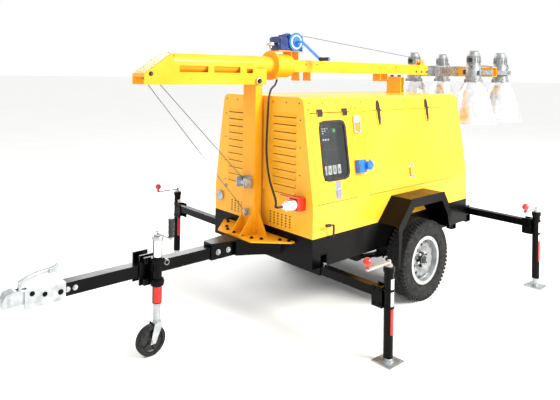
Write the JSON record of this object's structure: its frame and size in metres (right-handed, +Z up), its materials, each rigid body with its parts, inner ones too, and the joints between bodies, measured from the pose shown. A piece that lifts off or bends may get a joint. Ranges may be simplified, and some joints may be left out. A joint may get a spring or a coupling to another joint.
{
  "type": "towable lighting tower generator",
  "caption": "Single-axle towable generator with a sheet-metal canopy, screw-jack outriggers, and a stowed tilting telescopic mast with floodlights on a crossarm.",
  "frame": {"origin": "centre of the coupler's ball cup", "axes": "+X towards the rear of the trailer, +Y to the far side, +Z up; the ground is 530 mm below the origin"},
  "size_m": [5.321, 2.8, 2.174],
  "materials": {
    "yellow_paint": "gloss powder coat",
    "black_paint": "gloss chassis paint",
    "zinc": "zinc plated",
    "galvanised": "hot-dip galvanised",
    "blue_paint": "gloss",
    "genset_metal": "cast and painted",
    "panel_plastic": "moulded",
    "socket_red": "moulded",
    "plug_white": "moulded",
    "cable_rubber": "rubber sheath",
    "wire_rope": "galvanised strands",
    "tyre_rubber": "moulded tread",
    "rim_silver": "silver lacquer",
    "lamp_aluminium": "spun and polished"
  },
  "bodies": {
    "trailer": {"side_rails": "black_paint", "base_frame": "black_paint", "outrigger_sleeves": "black_paint", "a_frame": "black_paint", "drawbar": "black_paint", "coupler_body": "zinc", "axle_springs": "black_paint", "mudguards": "black_paint", "mast_post": "yellow_paint", "canopy_front": "yellow_paint", "canopy_rear": "yellow_paint", "canopy_sides": "yellow_paint", "roof_panel": "yellow_paint", "genset": "genset_metal", "control_panel": "panel_plastic", "sockets": "socket_red", "power_plug": "plug_white", "mast_cable": "cable_rubber", "lift_ropes": "wire_rope", "post_winch": "zinc", "jockey_tube": "black_paint"},
    "post_winch_drum": {"post_winch_crank": "zinc"},
    "jockey_leg": {"jockey_leg": "zinc"},
    "jockey_fork": {"jockey_fork": "zinc"},
    "jockey_wheel": {"jockey_wheel": "tyre_rubber"},
    "jockey_crank": {"jockey_crank": "zinc"},
    "control_door": {"control_door": "yellow_paint"},
    "main_door_near": {"main_door_near": "yellow_paint"},
    "main_door_far": {"main_door_far": "yellow_paint"},
    "near_wheel": {"near_rim": "rim_silver", "near_tyre": "tyre_rubber"},
    "far_wheel": {"far_rim": "rim_silver", "far_tyre": "tyre_rubber"},
    "coupler_handle": {"coupler_handle": "zinc"},
    "mast_cradle": {"mast_cradle": "yellow_paint"},
    "lock_knob": {"lock_knob": "zinc"},
    "mast_outer": {"mast_outer": "yellow_paint", "mast_winch": "blue_paint", "hoist_rope": "wire_rope"},
    "mast_winch_drum": {"mast_winch_crank": "blue_paint"},
    "mast_mid": {"mast_mid": "galvanised"},
    "mast_inner": {"mast_inner": "galvanised", "crossarm": "yellow_paint"},
    "lamp_far_front": {"lamp_far_front": "lamp_aluminium"},
    "lamp_far_rear": {"lamp_far_rear": "lamp_aluminium"},
    "lamp_near_front": {"lamp_near_front": "lamp_aluminium"},
    "lamp_near_rear": {"lamp_near_rear": "lamp_aluminium"},
    "beam_near_front": {"beam_near_front": "black_paint"},
    "leg_near_front": {"leg_near_front": "zinc"},
    "crank_near_front": {"crank_near_front": "zinc"},
    "beam_near_rear": {"beam_near_rear": "black_paint"},
    "leg_near_rear": {"leg_near_rear": "zinc"},
    "crank_near_rear": {"crank_near_rear": "zinc"},
    "beam_far_front": {"beam_far_front": "black_paint"},
    "leg_far_front": {"leg_far_front": "zinc"},
    "crank_far_front": {"crank_far_front": "zinc"},
    "beam_far_rear": {"beam_far_rear": "black_paint"},
    "leg_far_rear": {"leg_far_rear": "zinc"},
    "crank_far_rear": {"crank_far_rear": "zinc"}
  },
  "joints": [
    {"name": "post_winch_spin", "type": "hinge", "parent": "trailer", "child": "post_winch_drum", "pos_m": [1.662, 0, 0.47], "axis": [0, 1, 0], "continuous": true},
    {"name": "jockey_leg_slide", "type": "slide", "parent": "trailer", "child": "jockey_leg", "axis": [0, 0, -1], "range_m": [-0.085, 0.25]},
    {"name": "jockey_swivel", "type": "hinge", "parent": "jockey_leg", "child": "jockey_fork", "pos_m": [0.866, -0.12, -0.308], "axis": [0, 0, 1], "continuous": true},
    {"name": "jockey_wheel_spin", "type": "hinge", "parent": "jockey_fork", "child": "jockey_wheel", "pos_m": [0.824, -0.12, -0.43], "axis": [0, 1, 0], "continuous": true},
    {"name": "jockey_crank_spin", "type": "hinge", "parent": "trailer", "child": "jockey_crank", "pos_m": [0.866, -0.12, 0.19], "axis": [0, 0, 1], "range_deg": [-1800, 4500]},
    {"name": "control_door_hinge", "type": "hinge", "parent": "trailer", "child": "control_door", "pos_m": [2.096, -0.5003, 1.0193], "axis": [-1, 0, 0], "range_deg": [0, 80]},
    {"name": "main_door_near_hinge", "type": "hinge", "parent": "trailer", "child": "main_door_near", "pos_m": [3.062, -0.5003, 1.0193], "axis": [-1, 0, 0], "range_deg": [0, 80]},
    {"name": "main_door_far_hinge", "type": "hinge", "parent": "trailer", "child": "main_door_far", "pos_m": [3.062, 0.5003, 1.0193], "axis": [1, 0, 0], "range_deg": [0, 80]},
    {"name": "near_wheel_spin", "type": "hinge", "parent": "trailer", "child": "near_wheel", "pos_m": [2.96, -0.7, -0.205], "axis": [0, 1, 0], "continuous": true},
    {"name": "far_wheel_spin", "type": "hinge", "parent": "trailer", "child": "far_wheel", "pos_m": [2.96, 0.7, -0.205], "axis": [0, 1, 0], "continuous": true},
    {"name": "coupler_handle_lift", "type": "hinge", "parent": "trailer", "child": "coupler_handle", "pos_m": [0.057, 0, 0.048], "axis": [0, -1, 0], "range_deg": [0, 38]},
    {"name": "mast_tilt", "type": "hinge", "parent": "trailer", "child": "mast_cradle", "pos_m": [1.725, 0, 1.249], "axis": [0, -1, 0], "range_deg": [0, 90], "deforming": ["lift_ropes", "mast_cable"]},
    {"name": "lock_knob_pull", "type": "slide", "parent": "mast_cradle", "child": "lock_knob", "axis": [0, 0, 1], "range_m": [0, 0.022]},
    {"name": "mast_rotation", "type": "hinge", "parent": "mast_cradle", "child": "mast_outer", "pos_m": [2.06, 0, 1.373], "axis": [1, 0, 0], "range_deg": [-90, 90]},
    {"name": "mast_winch_spin", "type": "hinge", "parent": "mast_outer", "child": "mast_winch_drum", "pos_m": [2.13, 0, 1.568], "axis": [0, 1, 0], "range_deg": [-2000, 100]},
    {"name": "mast_mid_slide", "type": "slide", "parent": "mast_outer", "child": "mast_mid", "axis": [1, 0, 0], "range_m": [0, 1.45]},
    {"name": "mast_inner_slide", "type": "slide", "parent": "mast_mid", "child": "mast_inner", "axis": [1, 0, 0], "range_m": [0, 1.45]},
    {"name": "lamp_far_front_tilt", "type": "hinge", "parent": "mast_inner", "child": "lamp_far_front", "pos_m": [4.443, 0.37, 1.358], "axis": [0, 1, 0], "range_deg": [-10, 30]},
    {"name": "lamp_far_rear_tilt", "type": "hinge", "parent": "mast_inner", "child": "lamp_far_rear", "pos_m": [5.039, 0.37, 1.358], "axis": [0, 1, 0], "range_deg": [-30, 10]},
    {"name": "lamp_near_front_tilt", "type": "hinge", "parent": "mast_inner", "child": "lamp_near_front", "pos_m": [4.443, -0.37, 1.358], "axis": [0, 1, 0], "range_deg": [-10, 30]},
    {"name": "lamp_near_rear_tilt", "type": "hinge", "parent": "mast_inner", "child": "lamp_near_rear", "pos_m": [5.039, -0.37, 1.358], "axis": [0, 1, 0], "range_deg": [-30, 10]},
    {"name": "beam_near_front_slide", "type": "slide", "parent": "trailer", "child": "beam_near_front", "axis": [0, -1, 0], "range_m": [-0.29, 0.2]},
    {"name": "leg_near_front_slide", "type": "slide", "parent": "beam_near_front", "child": "leg_near_front", "axis": [0, 0, -1], "range_m": [-0.012, 0.3]},
    {"name": "crank_near_front_spin", "type": "hinge", "parent": "beam_near_front", "child": "crank_near_front", "pos_m": [1.939, -1.17, 0.06], "axis": [0, 0, 1], "range_deg": [-1500, 6000]},
    {"name": "beam_near_rear_slide", "type": "slide", "parent": "trailer", "child": "beam_near_rear", "axis": [0, -1, 0], "range_m": [-0.36, 0.2]},
    {"name": "leg_near_rear_slide", "type": "slide", "parent": "beam_near_rear", "child": "leg_near_rear", "axis": [0, 0, -1], "range_m": [-0.055, 0.3]},
    {"name": "crank_near_rear_spin", "type": "hinge", "parent": "beam_near_rear", "child": "crank_near_rear", "pos_m": [3.967, -1.24, 0.105], "axis": [0, 0, 1], "range_deg": [-1500, 6000]},
    {"name": "beam_far_front_slide", "type": "slide", "parent": "trailer", "child": "beam_far_front", "axis": [0, 1, 0], "range_m": [-0.53, 0.1]},
    {"name": "leg_far_front_slide", "type": "slide", "parent": "beam_far_front", "child": "leg_far_front", "axis": [0, 0, -1], "range_m": [-0.055, 0.3]},
    {"name": "crank_far_front_spin", "type": "hinge", "parent": "beam_far_front", "child": "crank_far_front", "pos_m": [1.939, 1.41, 0.105], "axis": [0, 0, 1], "range_deg": [-1500, 6000]},
    {"name": "beam_far_rear_slide", "type": "slide", "parent": "trailer", "child": "beam_far_rear", "axis": [0, 1, 0], "range_m": [-0.36, 0.2]},
    {"name": "leg_far_rear_slide", "type": "slide", "parent": "beam_far_rear", "child": "leg_far_rear", "axis": [0, 0, -1], "range_m": [-0.055, 0.3]},
    {"name": "crank_far_rear_spin", "type": "hinge", "parent": "beam_far_rear", "child": "crank_far_rear", "pos_m": [3.967, 1.24, 0.105], "axis": [0, 0, 1], "range_deg": [-1500, 6000]}
  ],
  "couplings": [
    {"joint": "mast_inner_slide", "follows": "mast_mid_slide", "ratio": 1},
    {"joint": "mast_winch_spin", "follows": "mast_mid_slide", "rad_per_m": -24},
    {"joint": "jockey_crank_spin", "follows": "jockey_leg_slide", "rad_per_m": 300},
    {"joint": "crank_near_front_spin", "follows": "leg_near_front_slide", "rad_per_m": 300},
    {"joint": "crank_near_rear_spin", "follows": "leg_near_rear_slide", "rad_per_m": 300},
    {"joint": "crank_far_front_spin", "follows": "leg_far_front_slide", "rad_per_m": 300},
    {"joint": "crank_far_rear_spin", "follows": "leg_far_rear_slide", "rad_per_m": 300}
  ]
}
